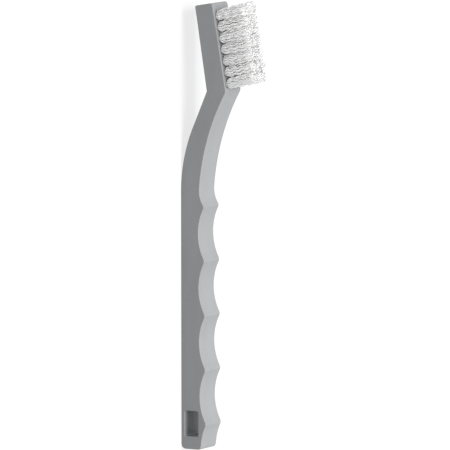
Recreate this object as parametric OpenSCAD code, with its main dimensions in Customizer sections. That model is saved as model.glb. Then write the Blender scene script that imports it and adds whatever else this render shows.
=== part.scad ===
// Instrument cleaning brush: a one-piece moulded handle with finger scallops and a hang slot,
// and rows of nylon tufts held by metal anchors in blind bores in its head.
// X runs from the tail to the head, Y across the width and Z up towards the bristles. The brush
// lies on the straight back of its grip, and the origin is under the middle of its length.

/* [Grip] */
// Width of the whole handle
handle_w = 12.7; // [12:0.1:16]
// Straight length of the back, from the tail's end to the neck's bend
back_len = 106.5; // [100:0.5:116]
// Distance from the tail's end to the first ridge
tail_len = 10.6; // [9:0.1:13]
// Number of ridges across the front
ridge_count = 5; // [3:1:5]
// Distance between two ridges
ridge_pitch = 22.5; // [18:0.1:24]
// Thickness of the grip at the ridge nearest the tail
tail_ridge_t = 11.8; // [11:0.1:13]
// Thickness of the grip at the ridge nearest the neck
neck_ridge_t = 10.8; // [10:0.1:12.5]
// Depth of a finger scallop below its two ridges
scallop_depth = 2.95; // [1.5:0.05:3.4]
// Thickness of the tail's end
tail_t = 9.3; // [9:0.1:10.4]
// Depth of the shallow hollow between the tail's end and the first ridge
tail_hollow = 0.7; // [0.3:0.05:0.9]
// Radius of the tail's corner at the back
tail_back_r = 2; // [0.5:0.1:3]
// Radius of the tail's corner at the front
tail_front_r = 1.3; // [0.4:0.1:2]

/* [Hang slot] */
// Length of the slot along the handle
slot_len = 10.6; // [8:0.1:12]
// Width of the slot
slot_w = 6.4; // [5:0.1:6.8]
// Radius of the slot's corners
slot_r = 0.8; // [0.4:0.1:2]
// Distance from the tail's end to the slot
slot_from_tail = 5.3; // [3.5:0.1:7]
// Wall between the slot and the back
slot_wall = 1.6; // [1.2:0.1:1.8]

/* [Neck] */
// Angle that the neck rises at, above the back
neck_rise = 25; // [18:0.5:30]
// Radius of the bend in the back
bend_r = 67; // [40:1:80]
// Straight length of the neck's back, from the bend to the head
neck_len = 15; // [10:0.5:20]
// Depth of the thumb rest below the ridge nearest the neck
thumb_depth = 2.6; // [1.5:0.1:3.4]
// Radius of the thumb rest, at its steep end by the ridge
thumb_r = 11; // [8:0.5:16]

/* [Head] */
// Length of the head's face
head_len = 36.7; // [34.5:0.1:42]
// Thickness of the head
head_t = 8.4; // [7.6:0.1:10]
// Angle that the head leans back at, below the line of the grip
head_lean = 10; // [5:0.5:15]
// How far the face reaches behind the corner of the head's back
face_step = 1.2; // [0.4:0.1:2]
// Radius of the head's tip at the face
tip_face_r = 1.2; // [0.4:0.1:2]
// Radius of the head's tip at the back
tip_back_r = 0.8; // [0.4:0.1:2]

/* [Tuft bores] */
// Number of rows along the head
row_count = 7; // [5:1:7]
// Distance between two rows
row_pitch = 4.7; // [4.2:0.1:4.9]
// Distance from the face's lower end to the middle of the first row
first_row = 3; // [2.2:0.1:3.6]
// Distance between two lanes across the head
lane_pitch = 4.05; // [3.4:0.05:4.1]
// Diameter of a bore
bore_d = 2.6; // [2:0.05:2.8]
// Depth of a bore
bore_depth = 5.2; // [4:0.1:6]
// Clearance round the tufts and the anchors
fit = 0.03; // [0.01:0.01:0.06]

/* [Anchors] */
// Length of an anchor, longer than its bore is wide
anchor_len = 3.3; // [3:0.05:3.7]
// Thickness of an anchor's flat wire
anchor_t = 0.3; // [0.2:0.05:0.4]
// Height of an anchor
anchor_h = 1.4; // [1:0.1:1.8]
// Chamfer at an anchor's two leading corners
anchor_chamfer = 0.2; // [0.1:0.05:0.3]
// Height of the folded bristles below the anchor
fold_t = 0.6; // [0.4:0.1:1]

/* [Bristles] */
// Length of the longest bristle above the face
bristle_len = 13.5; // [8:0.1:16]
// How much shorter the shortest bristle is
ragged = 1.2; // [0:0.1:2]
// Number of bristles in a tuft
strand_count = 20; // [15:1:23]
// Thickness of a bristle, corner to corner
strand_d = 0.24; // [0.16:0.02:0.26]
// Gap between the tips of two tufts
tip_gap = 0.3; // [0.1:0.05:0.8]
// Angle that the bristles lean at towards the head's tip
strand_lean = 3; // [0:0.5:6]
// Sideways reach of the bristles' crimp
crimp = 0.18; // [0:0.02:0.3]

/* [Hidden] */
$fn = 96;
// Overlap that keeps a cut's end clear of the face that it passes
past = 1;
// A round drawn this much too large crosses the line that it would touch, instead of grazing it
graze = 0.004;

// The outline's corners, in X and Z from the back of the tail's end
bend_corner = [back_len + bend_r * tan(neck_rise / 2), 0];
heel = bend_corner + (bend_r * tan(neck_rise / 2) + neck_len) * along(neck_rise);
face_dir = along(-head_lean);
face_normal = along(90 - head_lean);
throat = heel - face_step * face_dir + head_t * face_normal;
tip_face = throat + head_len * face_dir;
tip_back = tip_face - head_t * face_normal;
tail_front = [0, tail_t];
ridges = [for (i = [0:ridge_count - 1])
    [tail_len + i * ridge_pitch,
        tail_ridge_t + (neck_ridge_t - tail_ridge_t) * i / (ridge_count - 1)]];
last_ridge = ridges[ridge_count - 1];

// The neck's front curve is lowest under the last ridge and ends at the throat
neck_low = last_ridge - [0, thumb_depth];
neck_r = norm(throat - neck_low) ^ 2 / (2 * (throat[1] - neck_low[1]));
neck_centre = neck_low + [0, neck_r];
// The thumb rest's circle touches the neck's circle from inside and passes through the last ridge
ridge_reach = neck_r - thumb_depth;
thumb_reach = neck_r - thumb_r;
thumb_down = (thumb_reach ^ 2 - thumb_r ^ 2 + ridge_reach ^ 2) / (2 * ridge_reach);
thumb_ahead = sqrt(thumb_reach ^ 2 - thumb_down ^ 2);
thumb_centre = neck_centre + [thumb_ahead, -thumb_down];

// The furthest point of the head's rounded tip, and the middle of the brush
tip_x = tip_face[0] - tip_face_r * (cos(head_lean) + sin(head_lean) - 1);
middle_x = tip_x / 2;

// The bores' lanes across the head, by name, and the distance of each from the middle
lanes = ["right", "middle", "left"];
function lane_y(lane) = (lane - 1) * lane_pitch;
function row_x(row) = first_row + (row - 1) * row_pitch;
function tuft_name(row, lane) = str("tuft_", row, "_", lanes[lane]);
function anchor_name(row, lane) = str("anchor_", row, "_", lanes[lane]);

// The bristles start inside the plug, in a spiral that spreads evenly, and fan out to the tips
plug_r = bore_d / 2 - fit;
strand_root = 0.8;
root_r = plug_r - strand_d / 2 - 0.05;
tip_along = row_pitch / 2 - tip_gap / 2 - strand_d / 2;
tip_across = lane_pitch / 2 - tip_gap / 2 - strand_d / 2;
golden_angle = 137.508;
strand_sides = 3;
strand_steps = 3;
rings = strand_steps + 1;

function along(angle) = [cos(angle), sin(angle)];
function angle_of(v) = atan2(v[1], v[0]);

// A bristle's place in the spiral, from 0 at the middle of the tuft to 1 at its rim
function strand_place(i) = sqrt((i + 0.5) / strand_count) * along(i * golden_angle);

// Where a bristle passes the share s of its full length. Every tuft bends alike, so none cross.
function strand_point(i, s) = let (
        place = strand_place(i),
        wave = crimp * sin(s * 360 * 1.25),
        side = crimp * sin(s * 360 * 0.9 + 40))
    [place[0] * (root_r + (tip_along - root_r) * s) + bristle_len * s * tan(strand_lean) + wave,
        place[1] * (root_r + (tip_across - root_r) * s) + side * s,
        bristle_len * s];

// The bristle's ring of corners at one step. The last step stops at the bristle's own length.
function strand_ring(i, step, share, spin) = let (
        low = strand_point(i, max(step - 1, 0) / strand_steps),
        high = strand_point(i, step / strand_steps),
        centre = step == 0 ? high - [0, 0, strand_root]
            : step < strand_steps ? high
            : low + (high - low) * share)
    [for (j = [0:strand_sides - 1])
        centre + strand_d / 2 * concat(along(spin + j * 360 / strand_sides), 0)];

// The least gap between two bristles of one tuft, over all its steps
least_gap = min([for (step = [0:strand_steps], i = [0:strand_count - 2], k = [i + 1:strand_count - 1])
    norm(strand_point(i, step / strand_steps) - strand_point(k, step / strand_steps))]) - strand_d;
echo(bristles = row_count * 3 * strand_count, least_gap_in_a_tuft = least_gap, least_gap_of_tufts = tip_gap);

module at_origin() {
    translate([-middle_x, 0, 0]) children();
}

// Puts its children on the head's face, with X towards the tip and Z out of the face
module on_face(x, y) {
    at_origin()
        translate([throat[0] + x * face_dir[0], y, throat[1] + x * face_dir[1]])
            rotate([0, head_lean, 0]) children();
}

// What a convex corner loses when it is rounded. The two unit vectors point away along its edges.
module corner_cut(corner, edge_a, edge_b, r) {
    half = acos(edge_a * edge_b) / 2;
    centre = corner + (edge_a + edge_b) / norm(edge_a + edge_b) * r / sin(half);
    foot = r / tan(half);
    difference() {
        polygon([for (p = [corner, corner + foot * edge_a, centre, corner + foot * edge_b])
            centre + 1.5 * (p - centre)]);
        translate(centre) circle(r + graze, $fn = 360);
    }
}

// A slice of a disc between two angles less than 180 degrees apart
module disc_slice(centre, r, from, to) {
    reach = 1.2 * r / cos((to - from) / 2);
    translate(centre) intersection() {
        circle(r, $fn = 720);
        polygon([[0, 0], reach * along(from), reach * along(to)]);
    }
}

// The disc that cuts a hollow of the given depth between two points of the front
module hollow_disc(from, to, depth) {
    half = norm(to - from) / 2;
    r = (half ^ 2 + depth ^ 2) / (2 * depth);
    translate((from + to) / 2 + (r - depth) * along(angle_of(to - from) + 90)) circle(r, $fn = 360);
}

// The side view of the handle. The discs over its front meet at the ridges and at the throat, and
// take off all that the polygon has above them.
module handle_outline() {
    tail_half = norm(ridges[0] - tail_front) / 2;
    tail_hollow_r = (tail_half ^ 2 + tail_hollow ^ 2) / (2 * tail_hollow);
    tail_slope = angle_of(ridges[0] - tail_front) - asin(tail_half / tail_hollow_r)
        + asin(tail_front_r / (2 * tail_hollow_r));
    above = [0, past];
    throat_side = 10;
    difference() {
        polygon([[0, 0], bend_corner, heel, tip_back, tip_face, throat - past * face_dir,
            last_ridge + above, ridges[0] + above, tail_front + above]);
        corner_cut([0, 0], [1, 0], [0, 1], tail_back_r);
        corner_cut(tail_front, [0, -1], along(tail_slope), tail_front_r);
        corner_cut(bend_corner, [-1, 0], along(neck_rise), bend_r);
        corner_cut(tip_back, -face_dir, face_normal, tip_back_r);
        corner_cut(tip_face, -face_dir, -face_normal, tip_face_r);
        hollow_disc(tail_front, ridges[0], tail_hollow);
        for (i = [1:ridge_count - 1]) hollow_disc(ridges[i - 1], ridges[i], scallop_depth);
        translate(thumb_centre) circle(thumb_r + graze, $fn = 360);
        disc_slice(neck_centre, neck_r, angle_of(thumb_centre - neck_centre),
            angle_of(throat - neck_centre) + throat_side);
    }
}

module slot_outline() {
    difference() {
        square([slot_len, slot_w]);
        for (x = [0, 1], z = [0, 1])
            corner_cut([x * slot_len, z * slot_w], [1 - 2 * x, 0], [0, 1 - 2 * z], slot_r);
    }
}

// A tuft's blind bore, with the slit that its anchor bites into the wall on both sides
module bore_cut() {
    translate([0, 0, -bore_depth]) cylinder(d = bore_d, h = bore_depth + past);
    slit_depth = bore_depth - fold_t;
    translate([-anchor_len / 2 - fit, -anchor_t / 2 - fit, -slit_depth])
        cube([anchor_len + 2 * fit, anchor_t + 2 * fit, slit_depth + past]);
}

module handle() {
    color([0.62, 0.63, 0.64]) difference() {
        at_origin() rotate([90, 0, 0]) linear_extrude(height = handle_w, center = true) handle_outline();
        at_origin() translate([slot_from_tail, 0, slot_wall])
            rotate([90, 0, 0]) linear_extrude(height = handle_w + 2 * past, center = true) slot_outline();
        for (row = [1:row_count], lane = [0:2]) on_face(row_x(row), lane_y(lane)) bore_cut();
    }
}

// All the bristles of one tuft, each a thin three-sided rod that starts inside the plug
module strands(seed) {
    shares = rands(1 - ragged * strand_steps / bristle_len, 1, strand_count, seed);
    spins = rands(0, 360, strand_count, seed + 100);
    corners = rings * strand_sides;
    points = [for (i = [0:strand_count - 1], step = [0:strand_steps])
        each strand_ring(i, step, shares[i], spins[i])];
    faces = [for (i = [0:strand_count - 1]) let (base = i * corners, top = base + strand_steps * strand_sides)
        each concat(
            [[base, base + 1, base + 2], [top + 2, top + 1, top]],
            [for (step = [0:strand_steps - 1], j = [0:strand_sides - 1])
                let (a = base + step * strand_sides + j,
                    b = base + step * strand_sides + (j + 1) % strand_sides)
                each [[a, a + strand_sides, b], [b, a + strand_sides, b + strand_sides]]])];
    polyhedron(points, faces);
}

// A tuft: the plug of folded bristles in its bore, with a slot for the anchor, and its bristles
module tuft(row, lane) {
    color([0.95, 0.95, 0.93]) on_face(row_x(row), lane_y(lane)) {
        difference() {
            translate([0, 0, fit - bore_depth]) cylinder(r = plug_r, h = bore_depth - fit);
            translate([-bore_d, -anchor_t / 2 - fit, fold_t - bore_depth])
                cube([2 * bore_d, anchor_t + 2 * fit, anchor_h + 2 * fit]);
        }
        strands(row * 3 + lane);
    }
}

// An anchor: a short piece of flat wire driven across the fold of its tuft, long side along the head
module anchor(row, lane) {
    color([0.80, 0.68, 0.40]) on_face(row_x(row), lane_y(lane))
        translate([0, 0, fold_t + fit - bore_depth]) rotate([90, 0, 0])
            linear_extrude(height = anchor_t, center = true)
                polygon([[-anchor_len / 2 + anchor_chamfer, 0], [anchor_len / 2 - anchor_chamfer, 0],
                    [anchor_len / 2, anchor_chamfer], [anchor_len / 2, anchor_h],
                    [-anchor_len / 2, anchor_h], [-anchor_len / 2, anchor_chamfer]]);
}

handle();
for (row = [1:row_count], lane = [0:2]) {
    tuft(row, lane);
    anchor(row, lane);
}
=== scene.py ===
"""The looks of the instrument cleaning brush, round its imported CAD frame.

A moulded handle with eased edges, and a tuft of crimped nylon in each of its blind bores.
"""
import math

import bmesh
import bpy
from mathutils import Matrix, Vector


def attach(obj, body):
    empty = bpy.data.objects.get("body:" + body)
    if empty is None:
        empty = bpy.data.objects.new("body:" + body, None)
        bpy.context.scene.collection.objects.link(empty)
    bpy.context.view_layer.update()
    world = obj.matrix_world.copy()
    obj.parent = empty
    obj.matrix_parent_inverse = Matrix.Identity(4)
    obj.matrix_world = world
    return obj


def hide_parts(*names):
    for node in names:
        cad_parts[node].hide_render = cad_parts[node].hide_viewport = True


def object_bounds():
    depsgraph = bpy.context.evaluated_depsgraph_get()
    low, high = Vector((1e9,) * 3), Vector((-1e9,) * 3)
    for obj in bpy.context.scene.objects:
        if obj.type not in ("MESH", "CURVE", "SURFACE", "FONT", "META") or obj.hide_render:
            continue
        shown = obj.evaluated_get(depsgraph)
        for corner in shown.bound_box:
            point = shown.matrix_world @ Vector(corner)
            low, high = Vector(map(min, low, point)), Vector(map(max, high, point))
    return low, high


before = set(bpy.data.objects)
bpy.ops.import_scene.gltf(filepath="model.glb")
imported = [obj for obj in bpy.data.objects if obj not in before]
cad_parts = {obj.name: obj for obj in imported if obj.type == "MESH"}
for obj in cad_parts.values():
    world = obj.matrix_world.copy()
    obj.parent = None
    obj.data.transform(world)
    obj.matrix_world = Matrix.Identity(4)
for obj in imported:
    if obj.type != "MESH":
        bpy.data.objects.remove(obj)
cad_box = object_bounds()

MM = 0.001

# The handle's sizes in millimetres, the same as in the CAD source
HANDLE_W = 12.7
BACK_LEN = 106.5
TAIL_LEN = 10.6
RIDGE_COUNT = 5
RIDGE_PITCH = 22.5
TAIL_RIDGE_T = 11.8
NECK_RIDGE_T = 10.8
SCALLOP_DEPTH = 2.95
TAIL_T = 9.3
TAIL_HOLLOW = 0.7
TAIL_BACK_R = 2.0
TAIL_FRONT_R = 1.3
SLOT_LEN = 10.6
SLOT_W = 6.4
SLOT_R = 0.8
SLOT_FROM_TAIL = 5.3
SLOT_WALL = 1.6
NECK_RISE = 25.0
BEND_R = 67.0
NECK_LEN = 15.0
THUMB_DEPTH = 2.6
THUMB_R = 11.0
HEAD_LEN = 36.7
HEAD_T = 8.4
HEAD_LEAN = 10.0
FACE_STEP = 1.2
TIP_FACE_R = 1.2
TIP_BACK_R = 0.8

# The tufts' places and bores, in millimetres
ROW_COUNT = 7
ROW_PITCH = 4.7
FIRST_ROW = 3.0
LANES = ("right", "middle", "left")
LANE_PITCH = 4.05
BORE_D = 2.6
BORE_DEPTH = 5.2
ANCHOR_LEN = 3.3
ANCHOR_T = 0.3
FOLD_T = 0.6
FIT = 0.03

# How the mould eased the handle's edges, in millimetres
EDGE_R = 0.4
EDGE_STEPS = 3
SLOT_EDGE_R = 0.35
BORE_EDGE_R = 0.08

# How finely the handle is drawn: its arcs and joined corners in millimetres, the turns in degrees
ARC_STEP = 0.8
ARC_POINTS = 5
ROUND_TURN = 15
FLARE_TURN = 30
SAME_POINT = 0.0005
CUT_PAST = 1.0
# What turns less than this is a flat face or a straight edge
FLAT_TURN = 0.3
# The shading runs over an edge that turns less than this
SOFT_TURN = 35.0

# What the mould and the melt left on the plastic, in millimetres, and the seam's height in grains
GRAIN = 0.4
FLOW_LEN = 30
FLOW_W = 9
SEAM_W = 0.25
SEAM_GRAINS = 1.5
RELIEF = 0.04

# The lines that the die drew along the anchors' wire, in millimetres
DRAW_LINE_LEN = 2
DRAW_LINE_W = 0.05

# The bristles, in millimetres and degrees. Each fold shows as two bristles. Real ones are about
# 0.2 mm thick, and these are thicker and fewer, so that they show
BRISTLE_LEN = 13.9
BRISTLE_D = 0.42
BRISTLE_LEAN = 4.5
FOLDS = 16
RAGGED = 1.0
GOLDEN_ANGLE = 137.508
# The least part of its tuft's radius that a leg keeps from the anchor's line
LEG_ROOM = 0.2
# A tuft's reach at its tips, and the power of the height that it opens with
FAN = (2.7, 1.9)
BLOOM = 0.15
# How far a tip strays
SPLAY = 0.5
# How finely a bristle is drawn: its sides, and its steps in the bore and above the face
BRISTLE_SIDES = 4
BORE_STEPS = 2
FREE_STEPS = 14

# The crimp: its reach and length in millimetres, and the part of a bristle in which it grows
CRIMP = 0.3
CRIMP_LEN = 3.6
CRIMP_START = 0.1
# Neighbours crimp together in locks. A lock's size is in radii of its tuft, its phase and
# heading are in whole turns, and what each bristle has of its own is in radians
LOCK_SIZE = 2.0
LOCK_PHASE = 1.5
LOCK_HEADING = 1.0
OWN_PHASE = 0.25
OWN_HEADING = 0.3
# Each tuft's step through the locks' noise, and the random seeds that are kept for it
LAYER_STEP = 9.7
TUFT_SEEDS = 16.0

# How the drawing shows the brush, in its 450 pixel frame: an angled view with parallel lines.
# The view turns TURN degrees from square on to the side and tips TIP degrees towards the head.
FRAME_PX = 450
TURN = 29.6
TIP = 6.4
PX_PER_MM = 2.436
TAIL_CORNER_PX = (181.0, 449.5)
CAMERA_DISTANCE = 3.0
SENSOR_MM = 36.0

# The light: what the floor shows and throws back, the sky's and the sun's strength, and the
# sun's turns about X and Y and its width in the sky, in degrees
FLOOR_R = 3.0
FLOOR_SIDES = 64
FLOOR_GLOW = 0.76
FLOOR_SHADE = 0.18
FLOOR_BOUNCE = 0.38
SKY_LIGHT = 0.57
SUN_LIGHT = 1.14
SUN_TURN = (-6, 10)
SUN_WIDTH = 40

# The kinds of node that are used most
MATH = "ShaderNodeMath"
VECTOR = "ShaderNodeVectorMath"
MIX = "ShaderNodeMix"
RANGE = "ShaderNodeMapRange"
JOIN = "ShaderNodeCombineXYZ"
SPLIT = "ShaderNodeSeparateXYZ"
TURN_ROUND = "ShaderNodeVectorRotate"
NOISE = "ShaderNodeTexNoise"
PRINCIPLED = "ShaderNodeBsdfPrincipled"


def along(degrees):
    angle = math.radians(degrees)
    return Vector((math.cos(angle), math.sin(angle)))


def angle_of(v):
    return math.degrees(math.atan2(v.y, v.x))


def arc(centre, radius, start, end):
    """Points on an arc from one angle to another in degrees, with both its ends."""
    length = abs(math.radians(end - start)) * radius
    count = max(ARC_POINTS, math.ceil(length / ARC_STEP) + 1)
    return [centre + radius * along(start + (end - start) * i / (count - 1)) for i in range(count)]


def rounded(corner, edge_in, edge_out, radius):
    """The arc that rounds a corner. The unit vectors point away from it along its two edges."""
    half = edge_in.angle(edge_out) / 2
    centre = corner + (edge_in + edge_out).normalized() * (radius / math.sin(half))
    foot = radius / math.tan(half)
    start = angle_of(corner + foot * edge_in - centre)
    sweep = angle_of(corner + foot * edge_out - centre) - start
    sweep = (sweep + 180) % 360 - 180
    return arc(centre, radius, start, start + sweep)


def hollow(start, end, depth):
    """The arc that hollows the front between two points, in that order."""
    half = (end - start).length / 2
    radius = (half ** 2 + depth ** 2) / (2 * depth)
    up = (end - start).normalized().orthogonal()
    if up.y < 0:
        up = -up
    centre = (start + end) / 2 + (radius - depth) * up
    return arc(centre, radius, angle_of(start - centre), angle_of(end - centre))


# The outline's corners, in X from the tail and Z from the back
BEND_CORNER = Vector((BACK_LEN + BEND_R * math.tan(math.radians(NECK_RISE / 2)), 0))
HEEL = BEND_CORNER + (BEND_CORNER.x - BACK_LEN + NECK_LEN) * along(NECK_RISE)
FACE_DIR = along(-HEAD_LEAN)
FACE_NORMAL = along(90 - HEAD_LEAN)
THROAT = HEEL - FACE_STEP * FACE_DIR + HEAD_T * FACE_NORMAL
TIP_FACE = THROAT + HEAD_LEN * FACE_DIR
TIP_BACK = TIP_FACE - HEAD_T * FACE_NORMAL
TAIL_FRONT = Vector((0, TAIL_T))
RIDGES = [
    Vector((
        TAIL_LEN + i * RIDGE_PITCH,
        TAIL_RIDGE_T + (NECK_RIDGE_T - TAIL_RIDGE_T) * i / (RIDGE_COUNT - 1),
    ))
    for i in range(RIDGE_COUNT)
]
HEAD_LEAN_COS, HEAD_LEAN_SIN = along(HEAD_LEAN)
MIDDLE_X = (TIP_FACE.x - TIP_FACE_R * (HEAD_LEAN_COS + HEAD_LEAN_SIN - 1)) / 2


def handle_outline():
    """The handle's side view, and the numbers of its points that are sharp across the width."""
    low = RIDGES[-1] - Vector((0, THUMB_DEPTH))
    neck_r = (THROAT - low).length_squared / (2 * (THROAT.y - low.y))
    neck_centre = low + Vector((0, neck_r))
    ridge_reach = neck_r - THUMB_DEPTH
    thumb_reach = neck_r - THUMB_R
    down = (thumb_reach ** 2 - THUMB_R ** 2 + ridge_reach ** 2) / (2 * ridge_reach)
    thumb_centre = neck_centre + Vector((math.sqrt(thumb_reach ** 2 - down ** 2), -down))
    touch = angle_of(thumb_centre - neck_centre)
    tail_arc = hollow(RIDGES[0], TAIL_FRONT, TAIL_HOLLOW)
    tail_slope = (tail_arc[-3] - tail_arc[-1]).normalized()

    points = rounded(Vector((0, 0)), along(90), along(0), TAIL_BACK_R)
    points += arc(Vector((BACK_LEN, BEND_R)), BEND_R, -90, NECK_RISE - 90)
    sharp = [len(points)]
    points += [HEEL]
    points += rounded(TIP_BACK, -FACE_DIR, FACE_NORMAL, TIP_BACK_R)
    points += rounded(TIP_FACE, -FACE_NORMAL, -FACE_DIR, TIP_FACE_R)
    sharp.append(len(points))
    points += arc(neck_centre, neck_r, angle_of(THROAT - neck_centre), touch)
    points += arc(thumb_centre, THUMB_R, touch, angle_of(RIDGES[-1] - thumb_centre))[1:]
    for i in range(RIDGE_COUNT - 1, 0, -1):
        sharp.append(len(points) - 1)
        points += hollow(RIDGES[i], RIDGES[i - 1], SCALLOP_DEPTH)[1:]
    sharp.append(len(points) - 1)
    points += tail_arc[1:-2]
    points += rounded(TAIL_FRONT, tail_slope, along(-90), TAIL_FRONT_R)
    return points, sharp


def mesh_object(name, bm):
    """Turns a bmesh into an object at the origin, with its faces pointing outwards."""
    bmesh.ops.remove_doubles(bm, verts=bm.verts, dist=SAME_POINT * MM)
    bmesh.ops.recalc_face_normals(bm, faces=bm.faces)
    mesh = bpy.data.meshes.new(name)
    bm.to_mesh(mesh)
    bm.free()
    made = bpy.data.objects.new(name, mesh)
    bpy.context.scene.collection.objects.link(made)
    return made


def loft(bm, rings):
    """Skins a row of rings of equal counts, and closes both its ends."""
    rows = [[bm.verts.new(p) for p in ring] for ring in rings]
    count = len(rings[0])
    for low, high in zip(rows, rows[1:]):
        for i in range(count):
            j = (i + 1) % count
            bm.faces.new((low[i], low[j], high[j], high[i]))
    bm.faces.new(rows[0])
    bm.faces.new(rows[-1][::-1])


def handle_blank():
    """The handle before its slot and bores are cut, eased all round and at its ridges."""
    outline, sharp = handle_outline()
    bm = bmesh.new()
    loft(bm, [
        [Vector((p.x - MIDDLE_X, y, p.y)) * MM for p in outline]
        for y in (-HANDLE_W / 2, HANDLE_W / 2)
    ])
    bm.verts.index_update()
    count = len(outline)
    eased = []
    for edge in bm.edges:
        a, b = sorted(v.index for v in edge.verts)
        rim = (a < count) == (b < count)
        if rim or a in sharp:
            eased.append(edge)
    bmesh.ops.bevel(
        bm, geom=eased, offset=EDGE_R * MM, offset_type="OFFSET", segments=EDGE_STEPS,
        profile=0.5, affect="EDGES", clamp_overlap=False,
    )
    return mesh_object("handle_moulding", bm)


def on_face(x, y):
    """The place on the head's face where Z points out of it and X to the tip, in metres."""
    foot = THROAT + x * FACE_DIR
    place = Matrix.Translation(Vector((foot.x - MIDDLE_X, y, foot.y)) * MM)
    return place @ Matrix.Rotation(math.radians(HEAD_LEAN), 4, "Y")


def tuft_places():
    """Each tuft's row and lane, and its place along the face and across it."""
    for row in range(1, ROW_COUNT + 1):
        for number, lane in enumerate(LANES):
            yield row, lane, FIRST_ROW + (row - 1) * ROW_PITCH, (number - 1) * LANE_PITCH


def slot_cutter(bm):
    """The hang slot, flared at both sides of the handle so that its rims come out rounded."""
    def ring(y, grow):
        points = []
        for right, high, start in ((1, 1, 0), (0, 1, 90), (0, 0, 180), (1, 0, 270)):
            corner = Vector((
                SLOT_FROM_TAIL - MIDDLE_X + SLOT_R + right * (SLOT_LEN - 2 * SLOT_R),
                SLOT_WALL + SLOT_R + high * (SLOT_W - 2 * SLOT_R),
            ))
            for i in range(90 // ROUND_TURN + 1):
                p = corner + (SLOT_R + grow) * along(start + i * ROUND_TURN)
                points.append(Vector((p.x, y, p.y)) * MM)
        return points

    flare = []
    for i in range(90 // FLARE_TURN + 1):
        out, up = along(i * FLARE_TURN)
        flare.append((HANDLE_W / 2 - SLOT_EDGE_R * (1 - up), SLOT_EDGE_R * (1 - out)))
    flare.append((HANDLE_W / 2 + CUT_PAST, SLOT_EDGE_R))
    right_side = [ring(-y, grow) for y, grow in reversed(flare)]
    left_side = [ring(y, grow) for y, grow in flare]
    loft(bm, right_side + left_side)


def bore_cutter(bm, x, y):
    """One blind bore, a little wider at its mouth."""
    place = on_face(x, y)
    r = BORE_D / 2
    steps = (
        (-BORE_DEPTH, r), (-BORE_EDGE_R, r), (0, r + BORE_EDGE_R), (CUT_PAST, r + BORE_EDGE_R),
    )
    loft(bm, [
        [place @ (Vector((*(r * along(turn)), z)) * MM) for turn in range(0, 360, ROUND_TURN)]
        for z, r in steps
    ])


def slit_cutter(bm, x, y):
    """The slit that an anchor cuts in the wall of its bore on both sides."""
    place = on_face(x, y)
    half_x = ANCHOR_LEN / 2 + FIT
    half_y = ANCHOR_T / 2 + FIT
    loft(bm, [
        [place @ (Vector((i * half_x, j * half_y, z)) * MM)
         for i, j in ((1, 1), (-1, 1), (-1, -1), (1, -1))]
        for z in (FOLD_T - BORE_DEPTH, CUT_PAST)
    ])


def carve(blank, cutter):
    """Cuts one object out of another for good."""
    cut = blank.modifiers.new("cut", "BOOLEAN")
    cut.operation = "DIFFERENCE"
    cut.solver = "EXACT"
    cut.object = cutter
    bpy.context.view_layer.update()
    solved = blank.evaluated_get(bpy.context.evaluated_depsgraph_get())
    mesh = bpy.data.meshes.new_from_object(solved)
    blank.modifiers.clear()
    blank.data = mesh
    bpy.data.objects.remove(cutter)


def clean_cuts(bm):
    """Takes out what the cuts leave: doubled points, empty faces and points on straight edges.

    The triangles at a point on a straight edge would fold over.
    """
    bmesh.ops.remove_doubles(bm, verts=bm.verts, dist=SAME_POINT * MM)
    bmesh.ops.dissolve_degenerate(bm, edges=bm.edges, dist=SAME_POINT * MM)
    spare = []
    for vert in bm.verts:
        if len(vert.link_edges) == 2:
            before, after = (edge.other_vert(vert).co - vert.co for edge in vert.link_edges)
            if before.angle(-after) < math.radians(FLAT_TURN):
                spare.append(vert)
    bmesh.ops.dissolve_verts(bm, verts=spare)


def shade_moulding(piece):
    """Gives the handle its corner normals.

    A flat face is flat to its edge, and what eases the edge rolls off it.
    """
    bm = bmesh.new()
    bm.from_mesh(piece.data)
    clean_cuts(bm)
    neck = along(NECK_RISE + 90)
    planes = [Vector((0, 1, 0)), Vector((0, -1, 0))] + [
        Vector((x, 0, z)) for x, z in (
            FACE_DIR, FACE_NORMAL, -FACE_NORMAL, -neck, (1, 0), (-1, 0), (0, 1), (0, -1))
    ]
    level = math.cos(math.radians(FLAT_TURN))
    soft = math.cos(math.radians(SOFT_TURN))
    flat = {f for f in bm.faces if max(f.normal.dot(p) for p in planes) > level}
    normals = []
    for face in bm.faces:
        face.smooth = True
        for vert in face.verts:
            near = [f for f in vert.link_faces if f.normal.dot(face.normal) > soft]
            held = [f for f in near if f in flat]
            if face in flat or not near:
                normals.append(face.normal.copy())
            elif held:
                normals.append(max(held, key=lambda f: f.normal.dot(face.normal)).normal.copy())
            else:
                blend = sum((f.normal * f.calc_area() for f in near), Vector())
                normals.append(blend.normalized())
    bm.to_mesh(piece.data)
    bm.free()
    piece.data.normals_split_custom_set(normals)


def add(tree, kind, inputs=(), **settings):
    """Adds a node with its settings and links.

    The inputs are given by name or in order: each is a value, a socket, or a node whose first
    output feeds it.
    """
    made = tree.nodes.new(kind)
    for name, value in settings.items():
        setattr(made, name, value)
    shown = [socket for socket in made.inputs if socket.enabled]
    for key, value in inputs.items() if isinstance(inputs, dict) else enumerate(inputs):
        socket = shown[key] if isinstance(key, int) else next(s for s in shown if s.name == key)
        if isinstance(value, bpy.types.Node):
            value = next(s for s in value.outputs if s.enabled)
        if isinstance(value, bpy.types.NodeSocket):
            tree.links.new(value, socket)
        else:
            socket.default_value = value
    return made


def linear(hex_colour):
    """A written sRGB colour as the linear colour that shaders take."""
    parts = [int(hex_colour[i:i + 2], 16) / 255 for i in (1, 3, 5)]
    return (*(c / 12.92 if c <= 0.04045 else ((c + 0.055) / 1.055) ** 2.4 for c in parts), 1.0)


def blank_material(name):
    made = bpy.data.materials.new(name)
    made.use_nodes = True
    made.node_tree.nodes.clear()
    return made


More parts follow.
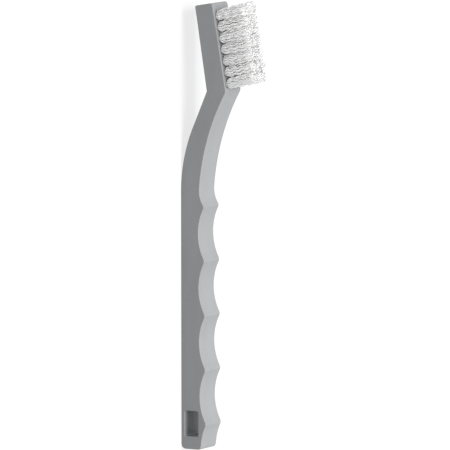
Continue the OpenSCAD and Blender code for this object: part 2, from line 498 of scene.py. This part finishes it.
def moulded_polypropylene():
    """Injection-moulded grey polypropylene from a lightly blasted two-part mould.

    It is an even satin with a fine grain, slow changes of tone where the melt flowed, and a hair
    line round the middle where the mould closed. The grain is about 0.1 mm and is drawn at 0.4 mm.
    """
    made = blank_material("moulded_polypropylene")
    tree = made.node_tree
    place = add(tree, "ShaderNodeTexCoord").outputs["Object"]
    grain = add(tree, NOISE, {
        "Vector": place, "Scale": 1 / (GRAIN * MM), "Detail": 2.0, "Roughness": 0.5})
    streak = add(tree, "ShaderNodeMapping", {
        "Vector": place, "Scale": (1 / (FLOW_LEN * MM), 1 / (FLOW_W * MM), 1 / (FLOW_W * MM))})
    flow = add(tree, NOISE, {
        "Vector": streak, "Scale": 1.0, "Detail": 3.0, "Roughness": 0.55, "Distortion": 0.6})
    tone = add(tree, MIX, {
        "Factor": flow, "A": linear("#898B8C"), "B": linear("#97999B")}, data_type="RGBA")
    speck = add(tree, RANGE, {
        "Value": grain, "From Min": 0.35, "From Max": 0.65, "To Min": 0.94, "To Max": 1.04})
    colour = add(tree, VECTOR, [tone, speck], operation="SCALE")
    satin = add(tree, RANGE, {"Value": flow, "To Min": 0.40, "To Max": 0.54})
    across = add(tree, SPLIT, [place]).outputs["Y"]
    off_seam = add(tree, MATH, [across], operation="ABSOLUTE")
    seam = add(tree, RANGE, {
        "Value": off_seam, "From Max": SEAM_W / 2 * MM, "To Min": 1.0, "To Max": 0.0},
        interpolation_type="SMOOTHSTEP")
    relief = add(tree, MATH, [seam, SEAM_GRAINS, grain], operation="MULTIPLY_ADD")
    bump = add(tree, "ShaderNodeBump", {
        "Height": relief, "Strength": 0.25, "Distance": RELIEF * MM})
    shader = add(tree, PRINCIPLED, {
        "Base Color": colour, "Roughness": satin, "IOR": 1.49, "Specular IOR Level": 0.35,
        "Normal": bump})
    add(tree, "ShaderNodeOutputMaterial", [shader])
    return made


def crimped_nylon():
    """Natural nylon filament, extruded and crimped.

    It is a milky, half-clear white with a soft gloss. Light also glints from the filament's far
    wall, so its specular level is above a solid plastic's, and the sheen is the haze that light
    makes between many filaments.
    """
    made = blank_material("crimped_nylon")
    tree = made.node_tree
    filament = add(tree, "ShaderNodeAttribute", attribute_name="filament_tone")
    colour = add(tree, MIX, {
        "Factor": filament.outputs["Fac"], "A": linear("#FBFBFA"), "B": linear("#FFFFFF")},
        data_type="RGBA")
    shader = add(tree, PRINCIPLED, {
        "Base Color": colour, "Roughness": 0.5, "IOR": 1.53, "Specular IOR Level": 0.8,
        "Sheen Weight": 1.0, "Sheen Roughness": 0.7,
        "Subsurface Weight": 0.1, "Subsurface Radius": (1.0, 1.0, 1.0),
        "Subsurface Scale": 0.3 * MM})
    add(tree, "ShaderNodeOutputMaterial", [shader])
    return made


def drawn_brass():
    """Flat brass wire, drawn and sheared: fine lines along its length and a warm, worn shine."""
    made = blank_material("drawn_brass")
    tree = made.node_tree
    place = add(tree, "ShaderNodeTexCoord").outputs["Object"]
    stretch = add(tree, "ShaderNodeMapping", {
        "Vector": place,
        "Scale": (1 / (DRAW_LINE_LEN * MM), 1 / (DRAW_LINE_W * MM), 1 / (DRAW_LINE_W * MM))})
    lines = add(tree, NOISE, {"Vector": stretch, "Scale": 1.0, "Detail": 2.0})
    shine = add(tree, RANGE, {"Value": lines, "To Min": 0.25, "To Max": 0.45})
    shader = add(tree, PRINCIPLED, {
        "Base Color": linear("#D9B968"), "Metallic": 1.0, "Roughness": shine})
    add(tree, "ShaderNodeOutputMaterial", [shader])
    return made


def tuft_inputs(tree):
    for name, kind in (
        ("Folds", "Int"), ("Bristle Diameter", "Float"), ("Length", "Float"), ("Ragged", "Float"),
        ("Fold Height", "Float"), ("Anchor Foot", "Float"), ("Anchor Clearance", "Float"),
        ("Bore Reach", "Vector"), ("Tip Reach", "Vector"), ("Bloom", "Float"), ("Splay", "Float"),
        ("Lean Slope", "Float"), ("Crimp", "Float"), ("Crimp Length", "Float"), ("Seed", "Int"),
        ("Place", "Vector"), ("Head Lean", "Float"), ("Finish", "Material"),
    ):
        tree.interface.new_socket(name, in_out="INPUT", socket_type="NodeSocket" + kind)
    tree.interface.new_socket("Geometry", in_out="OUTPUT", socket_type="NodeSocketGeometry")
    return add(tree, "NodeGroupInput").outputs


def seated_strands(tree, given):
    """A line of points for each bristle, the bristle's seat in its tuft and its number.

    A seat is a place across the tuft, in shares of its radius, and the side of the anchor that
    the leg passes on. The folds' seats are a spiral, and every second bristle is the leg on the
    anchor's other side.
    """
    index = add(tree, "GeometryNodeInputIndex")
    half = add(tree, MATH, [index, 0.5], operation="MULTIPLY")
    fold = add(tree, MATH, [half], operation="FLOOR")
    odd = add(tree, MATH, [half], operation="FRACT")
    side = add(tree, MATH, [odd, 4.0, -1.0], operation="MULTIPLY_ADD")
    filled = add(tree, MATH, [fold, 0.5], operation="ADD")
    share = add(tree, MATH, [filled, given["Folds"]], operation="DIVIDE")
    out = add(tree, MATH, [share], operation="SQRT")
    turn = add(tree, MATH, [fold, math.radians(GOLDEN_ANGLE)], operation="MULTIPLY")
    arm = add(tree, JOIN, [out, 0.0, 0.0])
    spiral = add(tree, TURN_ROUND, {"Vector": arm, "Angle": turn}, rotation_type="Z_AXIS")
    seat_x, spiral_y, _ = add(tree, SPLIT, [spiral]).outputs
    off_anchor = add(tree, MATH, [spiral_y], operation="ABSOLUTE")
    seat_y = add(tree, MATH, [off_anchor, LEG_ROOM], operation="MAXIMUM")
    seat = add(tree, JOIN, [seat_x, seat_y, side])
    count = add(tree, MATH, [given["Folds"], 2.0], operation="MULTIPLY")
    points = add(tree, "GeometryNodePoints", {"Count": count, "Position": seat})
    kept = add(tree, "GeometryNodeCaptureAttribute")
    kept.capture_items.new("VECTOR", "seat")
    kept.capture_items.new("INT", "bristle")
    for number, source in enumerate((points, add(tree, "GeometryNodeInputPosition"), index)):
        tree.links.new(source.outputs[0], kept.inputs[number])
    line = add(tree, "GeometryNodeCurvePrimitiveLine")
    evenly = add(tree, "GeometryNodeResampleCurve", {
        "Curve": line, "Count": BORE_STEPS + FREE_STEPS + 1})
    placed = add(tree, "GeometryNodeInstanceOnPoints", {"Points": kept, "Instance": evenly})
    strands = add(tree, "GeometryNodeRealizeInstances", [placed])
    return strands, kept.outputs[1], kept.outputs[2]


def own_draws(tree, given, bristle):
    """What each bristle has of its own, drawn from its tuft's seeds."""
    own = {}
    for number, (name, low, high) in enumerate((
        ("cut", -1.0, 0.0), ("phase", -OWN_PHASE, OWN_PHASE),
        ("heading", -OWN_HEADING, OWN_HEADING), ("tone", 0.0, 1.0),
        ("stray_x", -1.0, 1.0), ("stray_y", -1.0, 1.0),
    )):
        seed = add(tree, MATH, [given["Seed"], TUFT_SEEDS, float(number)],
                   operation="MULTIPLY_ADD")
        own[name] = add(tree, "FunctionNodeRandomValue", {
            "Min": low, "Max": high, "ID": bristle, "Seed": seed}, data_type="FLOAT")
    return own


def climb(tree, given, cut):
    """How a bristle climbs: past the anchor in its first step, to the face in the next, then free.

    Gives its step, its height over the face, and its free length in metres and as a share.
    """
    run = add(tree, "GeometryNodeSplineParameter").outputs["Factor"]
    step = add(tree, MATH, [run, float(BORE_STEPS + FREE_STEPS)], operation="MULTIPLY")
    past_anchor = add(tree, MATH, [step, 1.0], operation="SUBTRACT")
    in_bore = add(tree, MIX, {"Factor": past_anchor, "A": given["Anchor Foot"], "B": 0.0})
    below = add(tree, MIX, {"Factor": step, "A": given["Fold Height"], "B": in_bore})
    tip = add(tree, MATH, [cut, given["Ragged"], given["Length"]], operation="MULTIPLY_ADD")
    above = add(tree, RANGE, {
        "Value": step, "From Min": float(BORE_STEPS), "From Max": float(BORE_STEPS + FREE_STEPS),
        "To Min": 0.0, "To Max": tip})
    height = add(tree, MATH, [below, above], operation="ADD")
    up = add(tree, MATH, [above, given["Length"]], operation="DIVIDE")
    return step, height, above, up


def leg_line(tree, given, seat, step, height, above, up):
    """Where a bristle runs before its crimp.

    The legs part at the fold, pass the anchor, fill the bore and fan out to the tips.
    """
    side = add(tree, SPLIT, [seat]).outputs["Z"]
    opened = add(tree, MATH, [up, given["Bloom"]], operation="POWER")
    reach = add(tree, MIX, {
        "Factor": opened, "A": given["Bore Reach"], "B": given["Tip Reach"]}, data_type="VECTOR")
    wide = add(tree, VECTOR, [reach, seat], operation="MULTIPLY")
    wide_x, wide_y, _ = add(tree, SPLIT, [wide]).outputs
    clearance = add(tree, RANGE, {
        "Value": height, "From Min": given["Anchor Foot"], "From Max": 0.0,
        "To Min": given["Anchor Clearance"], "To Max": 0.0})
    apart = add(tree, MATH, [wide_y, clearance], operation="MAXIMUM")
    parted = add(tree, MATH, [step, 1.0], operation="MINIMUM")
    which_way = add(tree, MATH, [side, parted], operation="MULTIPLY")
    leg_y = add(tree, MATH, [which_way, apart], operation="MULTIPLY")
    leg_x = add(tree, MATH, [above, given["Lean Slope"], wide_x], operation="MULTIPLY_ADD")
    return add(tree, JOIN, [leg_x, leg_y, height])


def crimp_sway(tree, given, own, seat, above, up):
    """How far a bristle sways and strays from its line.

    Neighbours share their crimp, which is a wave across them, so that they lie in locks.
    """
    seat_x, seat_y, side = add(tree, SPLIT, [seat]).outputs
    side_y = add(tree, MATH, [side, seat_y], operation="MULTIPLY")
    layer = add(tree, MATH, [given["Seed"], LAYER_STEP], operation="MULTIPLY")
    lock = add(tree, NOISE, {
        "Vector": add(tree, JOIN, [seat_x, side_y, layer]),
        "Scale": 1 / LOCK_SIZE, "Detail": 0.0})
    lock_phase, lock_heading, _ = add(tree, SPLIT, [lock.outputs["Color"]]).outputs
    phase = add(tree, MATH, [lock_phase, LOCK_PHASE * math.tau, own["phase"]],
                operation="MULTIPLY_ADD")
    heading = add(tree, MATH, [lock_heading, LOCK_HEADING * math.tau, own["heading"]],
                  operation="MULTIPLY_ADD")
    waves = add(tree, MATH, [above, given["Crimp Length"]], operation="DIVIDE")
    angle = add(tree, MATH, [waves, math.tau, phase], operation="MULTIPLY_ADD")
    wave = add(tree, MATH, [angle], operation="SINE")
    grown = add(tree, RANGE, {"Value": up, "From Max": CRIMP_START, "To Max": given["Crimp"]})
    sway = add(tree, MATH, [wave, grown], operation="MULTIPLY")
    swung = add(tree, TURN_ROUND, {
        "Vector": add(tree, JOIN, [sway, 0.0, 0.0]), "Angle": heading}, rotation_type="Z_AXIS")
    stray = add(tree, MATH, [up, given["Splay"]], operation="MULTIPLY")
    return add(tree, VECTOR, [
        add(tree, JOIN, [own["stray_x"], own["stray_y"], 0.0]), stray, swung],
        operation="MULTIPLY_ADD")


def tuft_tree():
    """The Geometry Nodes that make one tuft: bristles folded in half under the anchor.

    Every two bristles are the legs of one fold. They part under the anchor and pass it on both
    sides, fill the bore, and fan out above the face. Each is a rod round its line, at the
    tuft's place on the head.
    """
    tree = bpy.data.node_groups.new("crimped_tuft", "GeometryNodeTree")
    given = tuft_inputs(tree)
    strands, seat, bristle = seated_strands(tree, given)
    own = own_draws(tree, given, bristle)
    step, height, above, up = climb(tree, given, own["cut"])
    leg = leg_line(tree, given, seat, step, height, above, up)
    sway = crimp_sway(tree, given, own, seat, above, up)
    shaped = add(tree, "GeometryNodeSetPosition", {
        "Geometry": strands, "Position": add(tree, VECTOR, [leg, sway], operation="ADD")})
    toned = add(tree, "GeometryNodeStoreNamedAttribute", {
        "Geometry": shaped, "Name": "filament_tone", "Value": own["tone"]},
        data_type="FLOAT", domain="POINT")
    radius = add(tree, MATH, [given["Bristle Diameter"], 0.5], operation="MULTIPLY")
    section = add(tree, "GeometryNodeCurvePrimitiveCircle", {
        "Resolution": BRISTLE_SIDES, "Radius": radius})
    rods = add(tree, "GeometryNodeCurveToMesh", {
        "Curve": toned, "Profile Curve": section, "Fill Caps": True})
    seated = add(tree, "GeometryNodeTransform", {
        "Geometry": rods, "Translation": given["Place"],
        "Rotation": add(tree, JOIN, [0.0, given["Head Lean"], 0.0])})
    real = add(tree, "GeometryNodeRealizeInstances", [seated])
    finished = add(tree, "GeometryNodeSetMaterial", {
        "Geometry": real, "Material": given["Finish"]})
    add(tree, "NodeGroupOutput", [finished])
    return tree


def make_tuft(tree, finish, name, seed, x, y):
    """One tuft as a plain mesh, made by the tree."""
    piece = bpy.data.objects.new(name, bpy.data.meshes.new(name))
    bpy.context.scene.collection.objects.link(piece)
    bore_reach = BORE_D / 2 - FIT - BRISTLE_D / 2
    sizes = {
        "Folds": FOLDS,
        "Bristle Diameter": BRISTLE_D * MM,
        "Length": BRISTLE_LEN * MM,
        "Ragged": RAGGED * MM,
        "Fold Height": (FOLD_T / 2 - BORE_DEPTH) * MM,
        "Anchor Foot": (FOLD_T - BORE_DEPTH) * MM,
        "Anchor Clearance": (ANCHOR_T + BRISTLE_D) / 2 * MM,
        "Bore Reach": [bore_reach * MM, bore_reach * MM, 0.0],
        "Tip Reach": [FAN[0] * MM, FAN[1] * MM, 0.0],
        "Bloom": BLOOM,
        "Splay": SPLAY * MM,
        "Lean Slope": math.tan(math.radians(BRISTLE_LEAN)),
        "Crimp": CRIMP * MM,
        "Crimp Length": CRIMP_LEN * MM,
        "Seed": seed,
        "Place": list(on_face(x, y).translation),
        "Head Lean": math.radians(HEAD_LEAN),
        "Finish": finish,
    }
    maker = piece.modifiers.new("maker", "NODES")
    maker.node_group = tree
    for socket in tree.interface.items_tree:
        if socket.in_out == "INPUT":
            maker[socket.identifier] = sizes[socket.name]
    bpy.context.view_layer.update()
    solved = piece.evaluated_get(bpy.context.evaluated_depsgraph_get())
    mesh = bpy.data.meshes.new_from_object(solved)
    piece.modifiers.clear()
    piece.data = mesh
    mesh.name = name
    return piece


def make_handle(finish):
    """The moulded handle, with its slot, its bores and the anchors' slits."""
    handle = handle_blank()
    bm = bmesh.new()
    slot_cutter(bm)
    for _, _, x, y in tuft_places():
        bore_cutter(bm, x, y)
    carve(handle, mesh_object("bores", bm))
    bm = bmesh.new()
    for _, _, x, y in tuft_places():
        slit_cutter(bm, x, y)
    carve(handle, mesh_object("slits", bm))
    handle.data.materials.clear()
    handle.data.materials.append(finish)
    shade_moulding(handle)
    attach(handle, "root")
    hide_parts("handle")


def make_tufts(finish):
    """The bristles of every tuft."""
    tree = tuft_tree()
    for seed, (row, lane, x, y) in enumerate(tuft_places()):
        tuft = make_tuft(tree, finish, f"bristles_{row}_{lane}", seed, x, y)
        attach(tuft, "root")
        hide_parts(f"tuft_{row}_{lane}")


def finish_anchors(finish):
    """The anchors keep their CAD solids."""
    for row, lane, _, _ in tuft_places():
        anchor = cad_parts[f"anchor_{row}_{lane}"]
        anchor.data.materials.clear()
        anchor.data.materials.append(finish)


def make_camera():
    """The drawing's view: the head up, the near side on the left, the bristles to the right."""
    turn, tip = math.radians(TURN), math.radians(TIP)
    out = Vector((0, math.cos(turn), math.sin(turn)))
    towards = Vector((math.sin(tip), 0, 0)) + math.cos(tip) * out
    up = Vector((math.cos(tip), 0, 0)) - math.sin(tip) * out
    right = Vector((0, -math.sin(turn), math.cos(turn)))
    lo, hi = cad_box
    tail_corner = Vector((lo.x, hi.y, 0))
    metres_per_px = MM / PX_PER_MM
    aim = tail_corner + right * (FRAME_PX / 2 - TAIL_CORNER_PX[0]) * metres_per_px
    aim += up * (TAIL_CORNER_PX[1] - FRAME_PX / 2) * metres_per_px
    aim += towards * ((lo + hi) / 2 - aim).dot(towards)
    data = bpy.data.cameras.new("camera")
    data.sensor_width = SENSOR_MM
    data.lens = SENSOR_MM * CAMERA_DISTANCE / (FRAME_PX * metres_per_px)
    camera = bpy.data.objects.new("camera", data)
    bpy.context.scene.collection.objects.link(camera)
    turned = Matrix((right, up, towards)).transposed().to_4x4()
    camera.matrix_world = Matrix.Translation(aim + towards * CAMERA_DISTANCE) @ turned
    bpy.context.scene.camera = camera


def make_floor():
    """A plain white floor. It throws back less light than it shows, so the sides stay darker."""
    bm = bmesh.new()
    bmesh.ops.create_circle(bm, cap_ends=True, segments=FLOOR_SIDES, radius=FLOOR_R)
    floor = mesh_object("floor", bm)
    made = blank_material("white_sweep")
    tree = made.node_tree
    lights = add(tree, "ShaderNodeLightPath").outputs["Is Diffuse Ray"]
    share = add(tree, MIX, {"Factor": lights, "A": FLOOR_SHADE, "B": FLOOR_BOUNCE})
    glow = add(tree, MIX, {"Factor": lights, "A": FLOOR_GLOW, "B": 0.0})
    grey = add(tree, "ShaderNodeCombineColor", [share, share, share])
    lit = add(tree, "ShaderNodeBsdfDiffuse", [grey])
    shown = add(tree, "ShaderNodeEmission", {"Strength": glow})
    above = add(tree, "ShaderNodeAddShader", [lit, shown])
    below = add(tree, "ShaderNodeBsdfTransparent")
    under = add(tree, "ShaderNodeNewGeometry").outputs["Backfacing"]
    sweep = add(tree, "ShaderNodeMixShader", [under, above, below])
    add(tree, "ShaderNodeOutputMaterial", [sweep])
    floor.data.materials.append(made)
    if floor.data.polygons[0].normal.z < 0:
        floor.data.flip_normals()


def make_light():
    """A soft sun and an even sky, which the camera and reflections see as white."""
    world = bpy.data.worlds.new("studio")
    bpy.context.scene.world = world
    world.use_nodes = True
    tree = world.node_tree
    tree.nodes.clear()
    lights = add(tree, "ShaderNodeLightPath").outputs["Is Diffuse Ray"]
    level = add(tree, MIX, {"Factor": lights, "A": 1.0, "B": SKY_LIGHT})
    sky = add(tree, "ShaderNodeBackground", {"Color": linear("#FFFFFF"), "Strength": level})
    add(tree, "ShaderNodeOutputWorld", [sky])
    data = bpy.data.lights.new("sun", "SUN")
    data.energy = SUN_LIGHT * math.pi
    data.angle = math.radians(SUN_WIDTH)
    sun = bpy.data.objects.new("sun", data)
    sun.rotation_euler = (*(math.radians(turn) for turn in SUN_TURN), 0)
    bpy.context.scene.collection.objects.link(sun)


make_camera()
make_handle(moulded_polypropylene())
make_tufts(crimped_nylon())
finish_anchors(drawn_brass())
make_floor()
make_light()

scene = bpy.context.scene
scene.view_settings.view_transform = "Standard"
